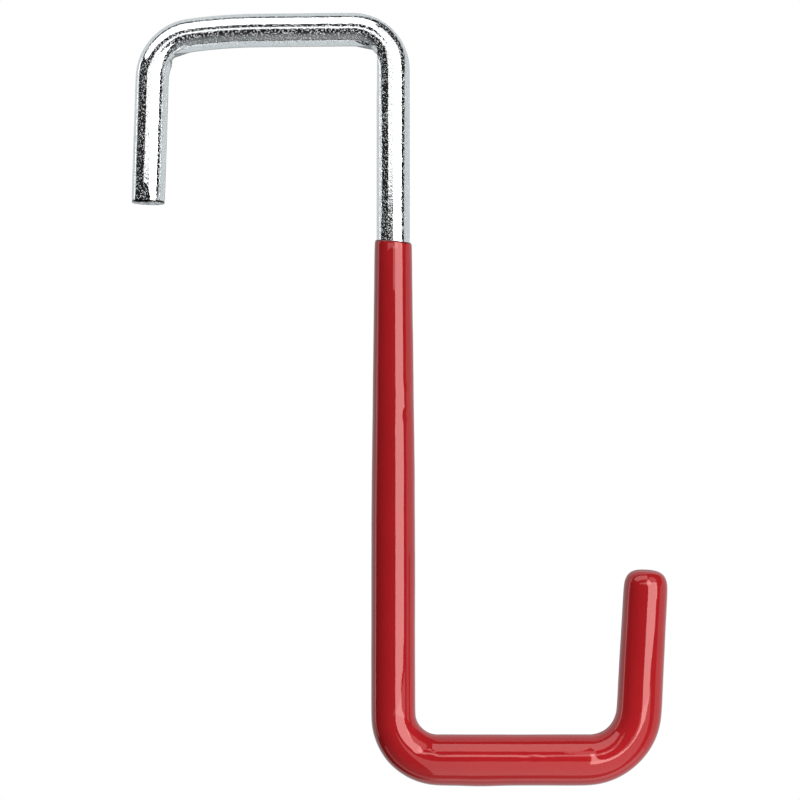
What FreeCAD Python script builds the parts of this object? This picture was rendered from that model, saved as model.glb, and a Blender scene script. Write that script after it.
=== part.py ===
"""Joist storage hook: a bent steel rod with a dipped vinyl coating.

Units are millimetres. The origin is the joist saddle: the middle of the top
bar's underside. +X runs from the free arm to the open side of the lower
cradle, +Z is up, and the whole hook lies in the plane Y = 0.
"""
import FreeCAD, Part
import math
import os

from FreeCAD import Vector

os.makedirs("parts", exist_ok=True)

# Rod
ROD_R = 3.175                   # quarter inch rod
BAR_TILT = 0.54                 # degrees, the top bar rises towards the shank

# Bending schedule, free arm side of the saddle
BAR_LEFT_RUN = 2.65
BOW_R = 104.0                   # the bar droops gently before the free arm's bend
BOW_TURN = 7.2
FREE_BEND_R = 8.55
FREE_ARM_LEAN = 1.83            # degrees off vertical, foot outwards
FREE_ARM_RUN = 24.2

# Bending schedule, shank side of the saddle
BAR_RIGHT_RUN = 15.5
SHANK_BEND_R = 7.75
SHANK_RUN = 124.1
CRADLE_BEND_R = 8.5
CRADLE_RUN = 29.15
TIP_BEND_R = 9.7
TIP_ARM_LEAN = 3.0              # degrees off vertical, tip outwards
TIP_ARM_RUN = 25.8

# Inner corners of the two upper bends, pressed square by the forming tool
SHANK_CORNER = Vector(20.2, 0, -1.25)
SHANK_CORNER_SLOPE = 18.5       # degrees, the flat under the bar
FREE_CORNER = Vector(-19.45, 0, -2.1)
FREE_CORNER_SLOPE = 15.0
PRESS_REACH = 4.4               # length of the flat under the bar
PRESS_DROP = 8.0                # height of the forming tool below the corner

# Flat pinched by the shears into the front of the free end
PINCH_LENGTH = 3.9
PINCH_TILT = 7.2                # degrees between the flat and the rod
PINCH_SIDE = 15.0               # degrees round from the front, towards the outside

# Vinyl coating, thicknesses over the rod
DIP_LINE = 37.5                 # below the saddle
DIP_LINE_TILT = 5.0             # degrees, the line drops away from the free arm
SHANK_COAT = (                  # distance below the dip line, thickness
    (-1.0, 0.20),
    (5.0, 0.50),
    (20.0, 0.66),
    (45.0, 0.97),
    (60.0, 1.03),
)
LOWER_SHANK_COAT = 1.06
CRADLE_COAT = 1.67              # the vinyl pools on the cradle
CRADLE_SAG = 0.25               # and hangs lower than the rod's own centre
TIP_ARM_COAT = 1.15
TIP_COAT = 1.02                 # just below the dome
TIP_DOME = 2.9                  # height of the dome
TIP_CORNER_R = 2.4              # its rounded shoulder
TIP_END_COAT = 1.4              # over the rod's buried end
CRADLE_COAT_BEND_R = 8.8
CRADLE_BEND_COAT = 1.44         # half way round the bend
TIP_COAT_BEND_R = 10.0
TIP_BEND_COAT = 1.30            # half way round the bend

FRONT = Vector(0, -1, 0)
UP = Vector(0, 0, 1)
TIP_TURN = 90 - TIP_ARM_LEAN


def heading_vector(heading):
    """Unit vector in the hook's plane, degrees from +X towards +Z."""
    turn = math.radians(heading)
    return Vector(math.cos(turn), 0, math.sin(turn))


def follow(start, heading, legs):
    """Edges of a path of straight runs and bends, its last point and last heading."""
    edges = []
    point = start
    for leg in legs:
        if leg[0] == "run":
            end = point + heading_vector(heading) * leg[1]
            edges.append(Part.makeLine(point, end))
        else:
            radius, turn = leg[1:]
            side = math.copysign(90, turn)
            centre = point + heading_vector(heading + side) * radius
            middle = centre - heading_vector(heading + side + turn / 2) * radius
            end = centre - heading_vector(heading + side + turn) * radius
            edges.append(Part.Arc(point, middle, end).toShape())
            heading += turn
        point = end
    return edges, point, heading


def disc(centre, heading, radius):
    """Round wire square to a path with this heading."""
    return Part.Wire(Part.makeCircle(radius, centre, heading_vector(heading)))


# The rod's centreline, from the saddle to each end
SADDLE = Vector(0, 0, ROD_R)
FREE_EDGES, FREE_END, FREE_HEADING = follow(SADDLE, 180 + BAR_TILT, [
    ("run", BAR_LEFT_RUN),
    ("bend", BOW_R, BOW_TURN),
    ("bend", FREE_BEND_R, 90 - FREE_ARM_LEAN - BAR_TILT - BOW_TURN),
    ("run", FREE_ARM_RUN),
])
TOP_EDGES, SHANK_TOP, DOWN = follow(SADDLE, BAR_TILT, [
    ("run", BAR_RIGHT_RUN),
    ("bend", SHANK_BEND_R, -90 - BAR_TILT),
])
LOWER_EDGES, ROD_TIP, TIP_HEADING = follow(SHANK_TOP, DOWN, [
    ("run", SHANK_RUN),
    ("bend", CRADLE_BEND_R, 90),
    ("run", CRADLE_RUN),
    ("bend", TIP_BEND_R, TIP_TURN),
    ("run", TIP_ARM_RUN),
])


def swept_rod():
    """Round bar along the whole bending schedule."""
    path = Part.Wire(FREE_EDGES[::-1] + TOP_EDGES + LOWER_EDGES)
    return path.makePipeShell([disc(FREE_END, FREE_HEADING, ROD_R)], True, False)


def forming_tool(corner, slope_heading):
    """Square-nosed tool that bites into the inside of an upper bend."""
    under_bar = corner + heading_vector(slope_heading) * PRESS_REACH
    drop = UP * -PRESS_DROP
    width = FRONT * (4 * ROD_R)
    outline = Part.makePolygon([corner, under_bar, under_bar + drop, corner + drop, corner])
    return Part.Face(outline.translated(width * -0.5)).extrude(width)


def pinch_waste():
    """What the shears squeezed off the front of the free end."""
    down = heading_vector(FREE_HEADING)
    side = math.radians(PINCH_SIDE)
    outwards = Vector(-math.sin(side), -math.cos(side), 0)
    reach = down * (2 * PINCH_LENGTH)
    start = FREE_END - down * PINCH_LENGTH + outwards * ROD_R
    inner = start + reach - outwards * (reach.Length * math.tan(math.radians(PINCH_TILT)))
    width = down.cross(outwards) * (4 * ROD_R)
    outline = Part.makePolygon([start, start + outwards, start + outwards + reach, inner, start])
    return Part.Face(outline.translated(width * -0.5)).extrude(width)


def steel_rod():
    rod = swept_rod()
    rod = rod.cut(forming_tool(SHANK_CORNER, 180 - SHANK_CORNER_SLOPE))
    rod = rod.cut(forming_tool(FREE_CORNER, FREE_CORNER_SLOPE))
    rod = rod.cut(pinch_waste())
    return rod.Solids[0]


def turned(outline, start, heading):
    """Solid of revolution along a path, from an outline of (radius, distance along)."""
    first = outline[0].StartPoint
    last = outline[-1].EndPoint
    edges = [curve.toShape() for curve in outline]
    foot, top = Vector(0, 0, first.z), Vector(0, 0, last.z)
    edges.append(Part.makeLine(foot, first))
    if last.x > ROD_R:
        edges.append(Part.makeLine(last, top))
    edges.append(Part.makeLine(top, foot))
    solid = Part.Face(Part.Wire(Part.__sortEdges__(edges))).revolve(Vector(), UP, 360)
    solid.Placement = FreeCAD.Placement(start, FreeCAD.Rotation(UP, heading_vector(heading)))
    return solid


def dome_arcs(width, base):
    """Shoulder arc and crown arc of the domed tip, tangent to each other."""
    shoulder = Vector(width - TIP_CORNER_R, 0, base)
    crown_r = ((shoulder.x ** 2 + TIP_DOME ** 2 - TIP_CORNER_R ** 2)
               / (2 * (TIP_DOME - TIP_CORNER_R)))
    crown = Vector(0, 0, base + TIP_DOME - crown_r)
    meeting = math.degrees(math.atan2(shoulder.z - crown.z, shoulder.x))
    return [
        Part.Arc(*[shoulder + heading_vector(turn) * TIP_CORNER_R for turn in (0, meeting / 2, meeting)]),
        Part.Arc(*[crown + heading_vector(turn) * crown_r for turn in (meeting, (meeting + 90) / 2, 90)]),
    ]


def bend_skin(edge, heading, turn, radii):
    """Outside of the coating round a bend, through a disc at its start, middle and end."""
    curve = edge.Curve
    first, last = edge.ParameterRange
    discs = []
    for step, radius in enumerate(radii):
        along = step / (len(radii) - 1)
        point = curve.value(first + (last - first) * along)
        discs.append(disc(point, heading + turn * along, radius))
    return Part.Wire(edge).makePipeShell(discs, True, False)


def coated_outside():
    """Outside of the coating as a solid: shank, cradle and domed tip."""
    dip_point = Vector(SHANK_TOP.x, 0, -DIP_LINE)
    cradle_z = LOWER_EDGES[2].Vertexes[0].Z - CRADLE_SAG
    shank_run = -DIP_LINE - cradle_z - CRADLE_COAT_BEND_R
    rod_corner = LOWER_EDGES[2].Vertexes[1].X + TIP_BEND_R * math.tan(math.radians(TIP_TURN / 2))
    corner_x = rod_corner - CRADLE_SAG * math.tan(math.radians(TIP_ARM_LEAN))
    setback = TIP_COAT_BEND_R * math.tan(math.radians(TIP_TURN / 2))
    cradle_run = corner_x - setback - SHANK_TOP.x - CRADLE_COAT_BEND_R
    edges, arm_start, _ = follow(dip_point, DOWN, [
        ("run", shank_run),
        ("bend", CRADLE_COAT_BEND_R, 90),
        ("run", cradle_run),
        ("bend", TIP_COAT_BEND_R, TIP_TURN),
    ])
    shank_r = ROD_R + LOWER_SHANK_COAT
    cradle_r = ROD_R + CRADLE_COAT
    arm_r = ROD_R + TIP_ARM_COAT
    tip_r = ROD_R + TIP_COAT
    dome_base = (ROD_TIP - arm_start).Length + TIP_END_COAT - TIP_DOME

    skin = [Vector(ROD_R + coat, 0, depth) for depth, coat in SHANK_COAT]
    skin.append(Vector(shank_r, 0, shank_run))
    shank = turned([Part.LineSegment(*ends) for ends in zip(skin, skin[1:])], dip_point, DOWN)
    cradle_bend = bend_skin(edges[1], DOWN, 90, (shank_r, ROD_R + CRADLE_BEND_COAT, cradle_r))
    cradle = Part.makeCylinder(cradle_r, cradle_run, edges[2].Vertexes[0].Point, Vector(1, 0, 0))
    tip_bend = bend_skin(edges[3], 0, TIP_TURN, (cradle_r, ROD_R + TIP_BEND_COAT, arm_r))
    flank = Part.LineSegment(Vector(arm_r, 0, 0), Vector(tip_r, 0, dome_base))
    arm = turned([flank] + dome_arcs(tip_r, dome_base), arm_start, TIP_HEADING)
    return shank.multiFuse([cradle_bend, cradle, tip_bend, arm]).removeSplitter()


def above_dip_line():
    """Everything above the slightly tilted line where the coating starts."""
    size = 8 * ROD_R
    slab = Part.makeBox(size, size, size, Vector(-size / 2, -size / 2, 0))
    slab.rotate(Vector(), Vector(0, 1, 0), DIP_LINE_TILT)
    return slab.translated(Vector(SHANK_TOP.x, 0, -DIP_LINE))


def vinyl_coating(rod):
    return coated_outside().cut(above_dip_line()).cut(rod).Solids[0]


rod = steel_rod()
rod.exportStep("parts/steel_rod.step")
vinyl_coating(rod).exportStep("parts/vinyl_coating.step")
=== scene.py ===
"""Looks of a joist storage hook: a bent zinc plated rod with a dipped red vinyl coating.

Everything is in metres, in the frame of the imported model. The origin is the joist
saddle, +X runs to the open side of the cradle, +Z is up, and the hook is seen from -Y.
Headings and turns are in degrees in the hook's plane, from +X towards +Z.
"""

import math

import bmesh
import bpy
from mathutils import Matrix, Quaternion, Vector


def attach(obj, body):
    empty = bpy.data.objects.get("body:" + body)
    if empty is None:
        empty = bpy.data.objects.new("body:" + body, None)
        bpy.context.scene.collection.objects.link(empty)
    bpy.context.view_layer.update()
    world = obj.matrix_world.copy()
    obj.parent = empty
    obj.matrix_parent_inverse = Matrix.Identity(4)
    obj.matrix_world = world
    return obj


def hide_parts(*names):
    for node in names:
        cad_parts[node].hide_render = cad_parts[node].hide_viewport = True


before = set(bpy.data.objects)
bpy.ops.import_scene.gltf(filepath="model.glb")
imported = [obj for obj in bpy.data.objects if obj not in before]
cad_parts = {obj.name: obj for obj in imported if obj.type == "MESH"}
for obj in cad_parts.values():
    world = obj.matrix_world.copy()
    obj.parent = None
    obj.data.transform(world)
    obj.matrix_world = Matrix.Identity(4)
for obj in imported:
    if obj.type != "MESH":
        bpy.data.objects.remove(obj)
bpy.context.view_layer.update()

MM = 0.001
FRONT = Vector((0, -1, 0))
LEFT_TURN_AXIS = (0, 1, 0)

# Rod and its bending schedule, from the free arm's end to the buried end
ROD_R = 3.175 * MM
FREE_END = Vector((-23.843, 0, -30.180)) * MM
FREE_ARM_HEADING = 88.17
FREE_ARM_RUN = 24.2 * MM
FREE_BEND_R = 8.55 * MM
FREE_BEND_TURN = 80.43
BOW_R = 104.0 * MM
BOW_TURN = 7.2
BAR_RUN = 18.15 * MM
SHANK_BEND_R = 7.75 * MM
SHANK_BEND_TURN = 90.54
SHANK_RUN = 124.1 * MM
CRADLE_BEND_R = 8.5 * MM
CRADLE_RUN = 29.15 * MM
TIP_BEND_R = 9.7 * MM
TIP_TURN = 87.0
TIP_ARM_RUN = 25.8 * MM
SHANK_X = 23.322 * MM           # the shank's centre
SHANK_TOP = 4.429 * MM          # its straight run starts this far below the saddle
CRADLE_Z = -137.029 * MM        # the cradle run's centre

# Pressed inner corners of the two upper bends
SHANK_CORNER = Vector((20.2, 0, -0.25)) * MM
SHANK_CORNER_SLOPE = 180 - 4.8
FREE_CORNER = Vector((-19.45, 0, -1.80)) * MM
FREE_CORNER_SLOPE = 11.5
PRESS_REACH = 4.4 * MM
PRESS_DROP = 8.0 * MM
SKIN_OF_TOOL = 0.002 * MM

# Flat pinched by the shears into the free end
PINCH_LENGTH = 3.9 * MM
PINCH_TILT = 7.2
PINCH_SIDE = 15.0
BURR_WIDTH = 0.20 * MM
BURR_HEIGHT = 0.14 * MM
BURR_GRAIN = 0.30 * MM
BURR_GROOVE = 0.96              # share of the rod's radius
END_RINGS = (0.4, 0.8, 0.95)    # shares of the rod's radius, on a cut end

# Vinyl coating: how thick it is over the rod
DIP_LINE = 37.5 * MM
DIP_LINE_TILT = 5.0
LIP_DEPTH = 0.35 * MM
LIP_COAT = 0.22 * MM
LIP_SHOULDER = 0.3              # share of the first run
LIP_SHOULDER_COAT = 0.31 * MM
SLEEVE_BITE = 0.01 * MM         # the sleeve's inside bites this far into the rod
SHANK_COAT = (                  # run down the shank, thickness at its end
    (0.5 * MM, 0.41 * MM),
    (4.5 * MM, 0.46 * MM),
    (15.0 * MM, 0.66 * MM),
    (25.0 * MM, 0.97 * MM),
    (15.0 * MM, 1.03 * MM),
)
LOWER_SHANK_COAT = 1.06 * MM
CRADLE_BEND_COAT = 1.44 * MM
CRADLE_COAT = 1.67 * MM
TIP_BEND_COAT = 1.30 * MM
TIP_ARM_COAT = 1.15 * MM
TIP_COAT = 1.02 * MM
CRADLE_COAT_BEND_R = 8.8 * MM
TIP_COAT_BEND_R = 10.0 * MM
CRADLE_SAG = 0.25 * MM
TIP_DOME = 2.9 * MM
TIP_END_COAT = 1.4 * MM
DOME = (                        # share of the dome's height, share of its width
    (0.32, 0.945), (0.30, 0.855), (0.21, 0.70), (0.13, 0.48), (0.04, 0.20),
)

# Where the wet vinyl ran, sagged or was touched: place, height and reach in millimetres
RUNS_AND_PITS = (
    ((26.0, -3.3, -66.5), 0.10, 2.6),      # a run down the shank, and the hook it ends in
    ((26.3, -3.3, -69.3), 0.09, 1.2),
    ((25.8, -3.4, -71.0), -0.08, 1.6),
    ((23.9, -4.2, -73.6), -0.03, 1.0),
    ((40.0, 0.0, -142.1), 0.14, 6.5),      # the cradle's lowest sag
    ((48.6, -4.9, -136.4), 0.030, 1.2),    # a ripple across the cradle's front
    ((50.3, -4.9, -136.1), -0.030, 1.1),
    ((51.9, -4.9, -136.3), 0.025, 1.2),
    ((28.5, -4.2, -134.5), -0.07, 1.6),    # the ragged end of the pool in the first bend
    ((30.5, -4.3, -135.0), 0.06, 1.4),
    ((72.8, -3.5, -101.9), -0.035, 0.5),   # the crease across the dome
    ((72.5, -3.6, -102.3), -0.040, 0.5),
    ((72.2, -3.8, -102.7), -0.045, 0.5),
    ((71.9, -4.0, -103.1), -0.040, 0.5),
    ((72.5, -4.2, -105.0), -0.10, 0.3),    # a scratch below it
    ((72.5, -4.2, -105.9), -0.10, 0.3),
    ((69.2, -4.2, -115.0), -0.07, 0.3),    # pits
    ((69.6, -4.2, -118.8), -0.07, 0.3),
)
TOUCH = 1e-7                    # points closer than this are the same point
DIP_WAVE = 9 * MM
DIP_WAVE_HEIGHT = 0.07 * MM

RING_POINTS = 32
SMOOTH_LEVELS = 2
RING_LOSS = (2 + math.cos(math.tau / RING_POINTS)) / 3  # how far smoothing pulls a ring in
ZINC_EDGE_ANGLE = 16
VINYL_EDGE_ANGLE = 40


def heading_vector(heading):
    turn = math.radians(heading)
    return Vector((math.cos(turn), 0, math.sin(turn)))


class Tube:
    """A tube drawn ring by ring in the hook's plane. The last ring stays selected."""

    def __init__(self, name, point, heading, radius, tilt=0):
        bpy.ops.object.select_all(action="DESELECT")
        self.point, self.heading, self.radius = Vector(point), heading, radius
        bpy.ops.mesh.primitive_circle_add(
            vertices=RING_POINTS, radius=radius / RING_LOSS, location=self.point,
            rotation=(0, math.radians(90 - heading - tilt), 0))
        self.piece = bpy.context.object
        self.piece.name = self.piece.data.name = name
        bpy.ops.object.transform_apply(location=True, rotation=True, scale=True)
        bpy.ops.object.mode_set(mode="EDIT")
        bpy.ops.mesh.select_all(action="SELECT")

    def widen(self, radius):
        bpy.ops.transform.resize(value=(radius / self.radius,) * 3, center_override=self.point)
        self.radius = radius

    def run(self, length, steps=1, radius=None):
        """Straight on, widening evenly to the new radius."""
        first = self.radius
        for step in range(steps):
            move = heading_vector(self.heading) * (length / steps)
            bpy.ops.mesh.extrude_region_move(TRANSFORM_OT_translate={"value": move})
            self.point += move
            if radius:
                self.widen(first + (radius - first) * (step + 1) / steps)

    def bend(self, bend_r, turn, steps, radius=None):
        """Round a bend, to the left when the turn is positive."""
        first = self.radius
        side = math.copysign(90, turn)
        centre = self.point + heading_vector(self.heading + side) * bend_r
        for step in range(steps):
            bpy.ops.mesh.spin(
                steps=1, angle=math.radians(turn / steps), center=centre, axis=LEFT_TURN_AXIS)
            self.heading += turn / steps
            self.point = centre - heading_vector(self.heading + side) * bend_r
            if radius:
                self.widen(first + (radius - first) * (step + 1) / steps)

    def close(self):
        """Fills both ends, points the faces outwards and smooths the whole tube."""
        bpy.ops.mesh.select_all(action="SELECT")
        bpy.ops.mesh.fill_holes(sides=0)
        bpy.ops.mesh.select_all(action="SELECT")
        bpy.ops.mesh.normals_make_consistent(inside=False)
        bpy.ops.object.mode_set(mode="OBJECT")
        smooth = self.piece.modifiers.new("smooth", "SUBSURF")
        smooth.levels = smooth.render_levels = SMOOTH_LEVELS
        bpy.ops.object.modifier_apply(modifier=smooth.name)
        return self.piece


def select_where(piece, test):
    """Selects the points of a piece, in edit mode, whose place passes the test."""
    bpy.ops.mesh.select_all(action="DESELECT")
    points = bmesh.from_edit_mesh(piece.data)
    found = 0
    for point in points.verts:
        if test(point.co):
            point.select_set(True)
            found += 1
    points.select_flush(True)
    bmesh.update_edit_mesh(piece.data)
    return found


def press_flat(piece, near, inside, through, normal):
    """Scores the surface near a plane, then presses the points inside onto it."""
    normal = normal.normalized()
    select_where(piece, near)
    bpy.ops.mesh.bisect(plane_co=through, plane_no=normal)
    across = normal.cross(FRONT).normalized()
    axes = Matrix((normal, across, normal.cross(across))).transposed()
    if select_where(piece, inside):
        bpy.ops.transform.resize(
            value=(0, 1, 1), orient_type="GLOBAL", orient_matrix=axes,
            orient_matrix_type="GLOBAL", constraint_axis=(True, False, False),
            center_override=through)


def ripple(piece, name, size, height, group=""):
    """Waves over the whole surface, or over a group of its points."""
    waves = bpy.data.textures.new(name, "CLOUDS")
    waves.noise_scale = size
    waves.noise_depth = 1
    shift = piece.modifiers.new(name, "DISPLACE")
    shift.texture = waves
    shift.texture_coords = "LOCAL"
    shift.vertex_group = group
    shift.strength = height
    shift.mid_level = 0.5
    bpy.ops.object.modifier_apply(modifier=shift.name)


def press_corner(piece, corner, slope):
    """Squares the inside of an upper bend with a square-nosed tool."""
    under_bar = heading_vector(slope)
    away = math.copysign(1, under_bar.x)
    off_bar = Vector((-under_bar.z, 0, under_bar.x)) * away

    def depth_under_bar(place):
        return -(place - corner).dot(off_bar)

    def depth_in_arm(place):
        return (place.x - corner.x) * away

    def near(place):
        return (place - corner).length < 1.5 * PRESS_REACH

    def bitten(place):
        return (depth_under_bar(place) > SKIN_OF_TOOL and depth_in_arm(place) > SKIN_OF_TOOL
                and depth_in_arm(place) < PRESS_REACH and place.z > corner.z - PRESS_DROP)

    press_flat(piece, near,
               lambda place: bitten(place) and depth_under_bar(place) < depth_in_arm(place),
               corner, off_bar)
    press_flat(piece, near, bitten, corner, Vector((1, 0, 0)))


def pinch_free_end(piece):
    """The flat where the shears squeezed the free end."""
    down = -heading_vector(FREE_ARM_HEADING)
    side = math.radians(PINCH_SIDE)
    outwards = Vector((-math.sin(side), -math.cos(side), 0))
    start = FREE_END - down * PINCH_LENGTH + outwards * ROD_R
    tilt = math.radians(PINCH_TILT)
    normal = outwards * math.cos(tilt) + down * math.sin(tilt)
    press_flat(piece,
               lambda place: (place - start).dot(down) > -1 * MM,
               lambda place: (place - start).dot(normal) > 0 and (place - start).dot(down) > 0,
               start, normal)


def roughen_cut(piece):
    """The sheared end and the burr round it are uneven."""
    down = -heading_vector(FREE_ARM_HEADING)
    cut = piece.vertex_groups.new(name="cut")
    cut.add([point.index for point in piece.data.vertices
             if (point.co - FREE_END).length < 2 * ROD_R
             and (point.co - FREE_END).dot(down) > -2 * BURR_WIDTH], 1, "REPLACE")
    ripple(piece, "torn cut", BURR_GRAIN, BURR_HEIGHT, cut.name)


def zinc_rod():
    """The whole rod, from the free end round to the end that the vinyl hides."""
    middle, ring, rim = END_RINGS
    rod = Tube("zinc_rod", FREE_END, FREE_ARM_HEADING, ROD_R * middle)
    rod.run(0, 1, ROD_R * ring)
    rod.run(0, 1, ROD_R * rim)
    rod.run(BURR_WIDTH, 1, ROD_R)
    rod.run(BURR_WIDTH, 1, ROD_R * BURR_GROOVE)
    rod.run(2 * BURR_WIDTH, 1, ROD_R)
    pinched = PINCH_LENGTH + 1 * MM
    rod.run(pinched, 8)
    rod.run(FREE_ARM_RUN - pinched - 4 * BURR_WIDTH, 7)
    rod.bend(FREE_BEND_R, -FREE_BEND_TURN, 14)
    rod.bend(BOW_R, -BOW_TURN, 6)
    rod.run(BAR_RUN, 7)
    rod.bend(SHANK_BEND_R, -SHANK_BEND_TURN, 15)
    shown = DIP_LINE + 1 * MM
    rod.run(shown, 13)
    rod.run(SHANK_RUN - shown, 12)
    rod.bend(CRADLE_BEND_R, 90, 8)
    rod.run(CRADLE_RUN, 4)
    rod.bend(TIP_BEND_R, TIP_TURN, 8)
    rod.run(TIP_ARM_RUN, 4)
    rod.run(0, 1, ROD_R * rim)
    rod.run(0, 1, ROD_R * middle)
    piece = rod.close()
    bpy.ops.object.mode_set(mode="EDIT")
    press_corner(piece, SHANK_CORNER, SHANK_CORNER_SLOPE)
    press_corner(piece, FREE_CORNER, FREE_CORNER_SLOPE)
    pinch_free_end(piece)
    bpy.ops.object.mode_set(mode="OBJECT")
    roughen_cut(piece)
    return piece


def rod_tip():
    """Where the rod's buried end lies, and the corner its cradle and tip arm point to."""
    setback = TIP_BEND_R * math.tan(math.radians(TIP_TURN / 2))
    corner = Vector((SHANK_X + CRADLE_BEND_R + CRADLE_RUN + setback, 0, CRADLE_Z))
    start = corner + heading_vector(TIP_TURN) * setback
    return start + heading_vector(TIP_TURN) * TIP_ARM_RUN, corner


def dimple(piece, place, out, reach):
    """Pushes the skin out, or in, around a place given in millimetres."""
    spot = Vector(place) * MM
    points = bmesh.from_edit_mesh(piece.data).verts
    closest = min(points, key=lambda point: (point.co - spot).length)
    move = closest.normal * (out * MM)
    spot = closest.co.copy()
    select_where(piece, lambda found: (found - spot).length < TOUCH)
    bpy.ops.transform.translate(
        value=move, use_proportional_edit=True, use_proportional_connected=True,
        proportional_edit_falloff="SMOOTH", proportional_size=reach * MM)


def vinyl_skin():
    """A sleeve: up the inside along the rod, round the lip, and down the outside to the dome."""
    tip, rod_corner = rod_tip()
    sleeve_r = ROD_R - SLEEVE_BITE
    skin = Tube("vinyl_skin", tip, TIP_TURN + 180, sleeve_r * END_RINGS[0])
    skin.run(0, 1, sleeve_r)
    skin.run(TIP_ARM_RUN, 5)
    skin.bend(TIP_BEND_R, -TIP_TURN, 8)
    skin.run(CRADLE_RUN, 4)
    skin.bend(CRADLE_BEND_R, -90, 8)
    skin.run(SHANK_RUN - (DIP_LINE - SHANK_TOP) - LIP_DEPTH, 12)

    # the lip leans with the dip line
    skin.run(LIP_DEPTH)
    bpy.ops.transform.rotate(
        value=math.radians(-DIP_LINE_TILT), orient_axis="Y", center_override=skin.point)
    skin.run(0, 1, ROD_R + LIP_COAT)
    skin.heading = 270
    length, coat = SHANK_COAT[0]
    skin.run(length * LIP_SHOULDER, 1, ROD_R + LIP_SHOULDER_COAT)
    skin.run(length * (1 - LIP_SHOULDER), 1, ROD_R + coat)
    bpy.ops.transform.rotate(
        value=math.radians(DIP_LINE_TILT), orient_axis="Y", center_override=skin.point)

    # down the outside, from the shank to the dome
    for length, coat in SHANK_COAT[1:]:
        skin.run(length, max(2, round(length / (3 * MM))), ROD_R + coat)
    cradle_z = rod_corner.z - CRADLE_SAG
    drawn = sum(length for length, _ in SHANK_COAT)
    shank_run = -DIP_LINE - cradle_z - CRADLE_COAT_BEND_R
    skin.run(shank_run - drawn, 8, ROD_R + LOWER_SHANK_COAT)
    skin.bend(CRADLE_COAT_BEND_R, 45, 5, ROD_R + CRADLE_BEND_COAT)
    skin.bend(CRADLE_COAT_BEND_R, 45, 5, ROD_R + CRADLE_COAT)
    setback = TIP_COAT_BEND_R * math.tan(math.radians(TIP_TURN / 2))
    corner_x = rod_corner.x - CRADLE_SAG * math.tan(math.radians(90 - TIP_TURN))
    skin.run(corner_x - setback - SHANK_X - CRADLE_COAT_BEND_R, 9)
    skin.bend(TIP_COAT_BEND_R, TIP_TURN / 2, 5, ROD_R + TIP_BEND_COAT)
    skin.bend(TIP_COAT_BEND_R, TIP_TURN / 2, 5, ROD_R + TIP_ARM_COAT)
    dome_base = (tip - skin.point).length + TIP_END_COAT - TIP_DOME
    skin.run(dome_base, 8, ROD_R + TIP_COAT)
    for rise, width in DOME:
        skin.run(TIP_DOME * rise, 1, (ROD_R + TIP_COAT) * width)
    piece = skin.close()
    ripple(piece, "dip ripple", DIP_WAVE, DIP_WAVE_HEIGHT)
    bpy.ops.object.mode_set(mode="EDIT")
    for place, out, reach in RUNS_AND_PITS:
        dimple(piece, place, out, reach)
    bpy.ops.object.mode_set(mode="OBJECT")
    return piece


class Signal:
    """A node's output that adds, subtracts and multiplies like a number."""

    def __init__(self, mixer, socket):
        self.mixer = mixer
        self.socket = socket

    def _math(self, operation, *terms):
        return self.mixer.add("ShaderNodeMath", {"operation": operation}, dict(enumerate(terms)))

    def __add__(self, other):
        return self._math("ADD", self, other)

    def __sub__(self, other):
        return self._math("SUBTRACT", self, other)

    def __rsub__(self, other):
        return self._math("SUBTRACT", other, self)

    def __mul__(self, other):
        return self._math("MULTIPLY", self, other)

    __radd__ = __add__
    __rmul__ = __mul__


class Mixer:
    """The nodes of one material or of the world."""

    def __init__(self, owner):
        owner.use_nodes = True
        self.tree = owner.node_tree
        self.tree.nodes.clear()

    def add(self, kind, settings, sockets, output=0):
        node = self.tree.nodes.new(kind)
        for name, value in settings.items():
            setattr(node, name, value)
        for name, value in sockets.items():
            if isinstance(value, Signal):
                self.tree.links.new(value.socket, node.inputs[name])
            else:
                node.inputs[name].default_value = value
        return Signal(self, node.outputs[output] if node.outputs else None)

    def noise(self, place, scale, detail=2, roughness=0.5):
        return self.add("ShaderNodeTexNoise", {"noise_dimensions": "3D"}, {
            "Vector": place, "Scale": scale, "Detail": detail, "Roughness": roughness})

    def step(self, value, low, high):
        """0 below low, 1 above high, eased between."""
        return self.add("ShaderNodeMapRange", {"interpolation_type": "SMOOTHSTEP"},
                        {"Value": value, "From Min": low, "From Max": high})

    def blend(self, amount, first, second):
        return self.add("ShaderNodeMix", {"data_type": "RGBA"},
                        {"Factor": amount, 6: first, 7: second}, output=2)

    def split(self, vector):
        """The three parts of a place or direction."""
        return [self.add("ShaderNodeSeparateXYZ", {}, {0: vector}, output=axis)
                for axis in range(3)]

    def place(self):
        return self.add("ShaderNodeTexCoord", {}, {}, output="Object")


# Finishes: colours, and where the painted shade round the cut end's torn rim and along the
# vinyl's lip fades in and out
ZINC_DULL = (0.80, 0.82, 0.84, 1)
ZINC_BRIGHT = (0.90, 0.91, 0.92, 1)
# painted shade for the torn rim round the cut end
BURR_SHADE_COLOUR = (0.05, 0.05, 0.05, 1)
BURR_SHADE_BELOW = (0.20 * MM, 0.30 * MM)
BURR_SHADE_ABOVE = (0.62 * MM, 0.72 * MM)
FREE_ARM_SIDE = (-15 * MM, -16 * MM)
VINYL_DEEP = (0.32, 0.010, 0.013, 1)
VINYL_RED = (0.37, 0.013, 0.016, 1)
# painted shade along the vinyl's lip
VINYL_LIP_SHADE = (0.07, 0.004, 0.005, 1)
VINYL_SHEEN = (1, 0.60, 0.58, 1)
LIP_SHADE_BAND = (0.15 * MM, 0.45 * MM)


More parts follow.
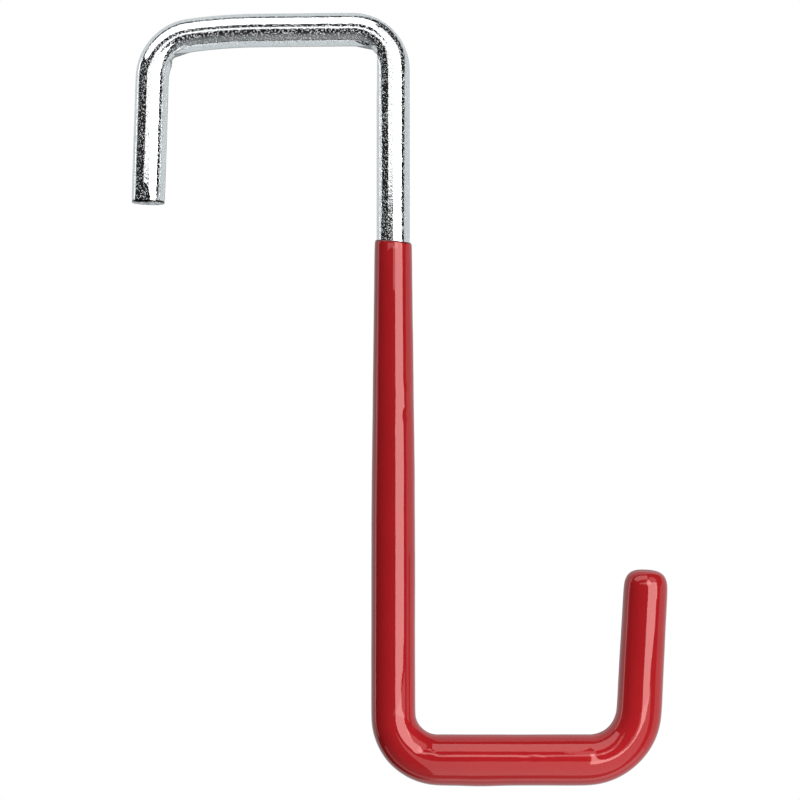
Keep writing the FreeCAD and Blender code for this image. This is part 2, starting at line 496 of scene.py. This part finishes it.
def zinc_plate():
    """Bright zinc over drawn rod: fine grain, dull crystals, and painted shade as a near-black
    band round the torn rim at the cut.
    """
    material = bpy.data.materials.new("bright_zinc")
    mix = Mixer(material)
    place = mix.place()
    grain = mix.noise(place, 1700, detail=2, roughness=0.6)
    crystals = mix.step(mix.noise(place, 2900, detail=2, roughness=0.6), 0.57, 0.61)
    clouds = mix.noise(place, 160, detail=3)
    colour = mix.blend(clouds, ZINC_DULL, ZINC_BRIGHT)
    across, _, height = mix.split(place)
    lean = math.cos(math.radians(FREE_ARM_HEADING))
    above_cut = (height - FREE_END.z) + (across - FREE_END.x) * lean + grain * (0.3 * MM)
    # painted shade: the torn rim round the cut end is painted near black, on the free arm only
    torn = mix.step(above_cut, *BURR_SHADE_BELOW) - mix.step(above_cut, *BURR_SHADE_ABOVE)
    colour = mix.blend(torn * mix.step(across, *FREE_ARM_SIDE), colour, BURR_SHADE_COLOUR)
    bump = mix.add("ShaderNodeBump", {}, {
        "Strength": 1.0, "Distance": 0.02 * MM, "Height": grain + crystals * 1.5})
    shader = mix.add("ShaderNodeBsdfPrincipled", {}, {
        "Base Color": colour, "Metallic": 1.0,
        "Roughness": 0.025 + clouds * 0.02 + crystals * 0.32, "Normal": bump})
    mix.add("ShaderNodeOutputMaterial", {}, {"Surface": shader})
    return material


def dipped_vinyl():
    """Glossy plasticised vinyl: deep red, slightly cloudy, with painted shade darkening it along
    its thin lip.
    """
    material = bpy.data.materials.new("dipped_red_vinyl")
    mix = Mixer(material)
    place = mix.place()
    clouds = mix.noise(place, 120, detail=2)
    skin = mix.noise(place, 1500, detail=2)
    colour = mix.blend(clouds, VINYL_DEEP, VINYL_RED)
    across, _, height = mix.split(place)
    tilt = math.tan(math.radians(DIP_LINE_TILT))
    below_lip = 0 - (height + DIP_LINE) - (across - SHANK_X) * tilt
    # painted shade: the vinyl is painted darker in a band just below its lip
    colour = mix.blend(mix.step(below_lip, *LIP_SHADE_BAND), VINYL_LIP_SHADE, colour)
    bump = mix.add("ShaderNodeBump", {}, {
        "Strength": 1.0, "Distance": 0.0025 * MM, "Height": skin})
    shader = mix.add("ShaderNodeBsdfPrincipled", {}, {
        "Base Color": colour, "Roughness": 0.02 + clouds * 0.02, "IOR": 1.70,
        "Specular Tint": VINYL_SHEEN, "Normal": bump})
    mix.add("ShaderNodeOutputMaterial", {}, {"Surface": shader})
    return material


def finish_piece(piece, node, material, sharp):
    piece.data.materials.clear()
    piece.data.materials.append(material)
    bpy.ops.object.select_all(action="DESELECT")
    bpy.context.view_layer.objects.active = piece
    piece.select_set(True)
    bpy.ops.object.shade_smooth_by_angle(angle=math.radians(sharp))
    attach(piece, "root")
    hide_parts(node)


finish_piece(zinc_rod(), "steel_rod", zinc_plate(), ZINC_EDGE_ANGLE)
finish_piece(vinyl_skin(), "vinyl_coating", dipped_vinyl(), VINYL_EDGE_ANGLE)

# Studio
LAMP_POWER = math.pi            # watts for a square metre of lamp of radiance one
DARK_ROOM = (0.02, 0.02, 0.02, 1)
TABLE_GREY = (0.24, 0.25, 0.25, 1)
BACKDROP_GREY = (0.66, 0.70, 0.71, 1)
BACKDROP_CENTRE_GREY = (0.22, 0.23, 0.24, 1)
WHITE = (1, 1, 1, 1)
FLOOR_SIZE = 6
FLOOR_Z = -450 * MM
CAMERA_PLACE = Vector((24.63, -385, -67.98)) * MM
CAMERA_LENS = 90                # millimetres, on a 36 mm wide sensor
CAMERA_SENSOR = 36


def softbox(name, centre, size, facing, radiance, roll=0):
    """Soft light of even brightness, unseen by the camera. Centre and size in millimetres."""
    lamp = bpy.data.lights.new(name, "AREA")
    lamp.shape = "RECTANGLE"
    lamp.size, lamp.size_y = Vector(size) * MM
    lamp.energy = radiance * lamp.size * lamp.size_y * LAMP_POWER
    stand = bpy.data.objects.new(name, lamp)
    stand.location = Vector(centre) * MM
    turn = Vector(facing).to_track_quat("-Z", "Y") @ Quaternion((0, 0, 1), math.radians(roll))
    stand.rotation_euler = turn.to_euler()
    stand.visible_camera = False
    bpy.context.collection.objects.link(stand)


softbox("right softbox", (565, -600, 27), (837, 546), (0, 1, 0), 4.9)
softbox("corner card", (97, -378, 85), (105, 50), (0, 1, 0), 1.3)
softbox("upper corner card", (185, -378, 200), (170, 180), (0, 1, 0), 1.3)
softbox("upper right softbox", (516, -378, 440), (689, 500), (0, 1, 0), 1.3, roll=56)
softbox("front card", (47, -254, -11.5), (50, 32), (0, 1, 0), 2.0)
softbox("front strip", (0, -315, 38), (380, 66), (0, 1, 0), 1.35)
softbox("overhead softbox", (-150, -162, 200), (500, 276), (0, 0, -1), 2.0)
softbox("low front card", (76, -53, -185), (108, 102), (0, 1, 0), 1.15)
softbox("under strip", (40, -5, -188), (200, 14), (0, 0, 1), 0.68)
softbox("left edge strip", (-378, 115, -70), (40, 500), (1, -0.3, 0), 1.2)


def studio_world():
    """White for the camera. The hook sees a grey backdrop, a dark room in front and a table."""
    world = bpy.data.worlds.new("studio")
    bpy.context.scene.world = world
    mix = Mixer(world)
    direction = mix.add("ShaderNodeTexCoord", {}, {}, output="Generated")
    across, away, up = mix.split(direction)
    corner = mix.add("ShaderNodeMath", {"operation": "MAXIMUM"}, {0: across * up, 1: 0.0})
    # the backdrop's edge wraps round the sides and curves back towards the top right
    edge = away + across * 0.17 - up * (up * 0.14 + 0.11) - corner * 1.3
    backdrop = mix.step(edge, -0.11, -0.08)
    table = mix.step(0 - up, 0.35, 0.9) * mix.step(0 - away, 0.10, 0.20)
    front = mix.blend(table, DARK_ROOM, TABLE_GREY)
    behind = mix.blend(mix.step(away, 0.93, 0.97), BACKDROP_GREY, BACKDROP_CENTRE_GREY)
    seen_by_hook = mix.blend(backdrop, front, behind)
    camera_ray = mix.add("ShaderNodeLightPath", {}, {}, output="Is Camera Ray")
    colour = mix.blend(camera_ray, seen_by_hook, WHITE)
    shader = mix.add("ShaderNodeBackground", {}, {"Color": colour, "Strength": 1.0})
    mix.add("ShaderNodeOutputWorld", {}, {"Surface": shader})


def white_floor():
    """A white floor well below the hook, which only the camera sees."""
    bpy.ops.mesh.primitive_plane_add(size=FLOOR_SIZE, location=(0, 0, FLOOR_Z))
    floor = bpy.context.object
    floor.name = "floor"
    material = bpy.data.materials.new("pale_floor")
    mix = Mixer(material)
    glow = mix.add("ShaderNodeEmission", {}, {"Color": WHITE, "Strength": 1.0})
    mix.add("ShaderNodeOutputMaterial", {}, {"Surface": glow})
    floor.data.materials.append(material)
    floor.visible_diffuse = floor.visible_glossy = False


def front_camera():
    """Level camera in front of the hook."""
    lens = bpy.data.cameras.new("camera")
    lens.lens = CAMERA_LENS
    lens.sensor_width = CAMERA_SENSOR
    camera = bpy.data.objects.new("camera", lens)
    camera.location = CAMERA_PLACE
    camera.rotation_euler = (math.radians(90), 0, 0)
    bpy.context.collection.objects.link(camera)
    bpy.context.scene.camera = camera


studio_world()
white_floor()
front_camera()
bpy.context.scene.view_settings.view_transform = "Standard"
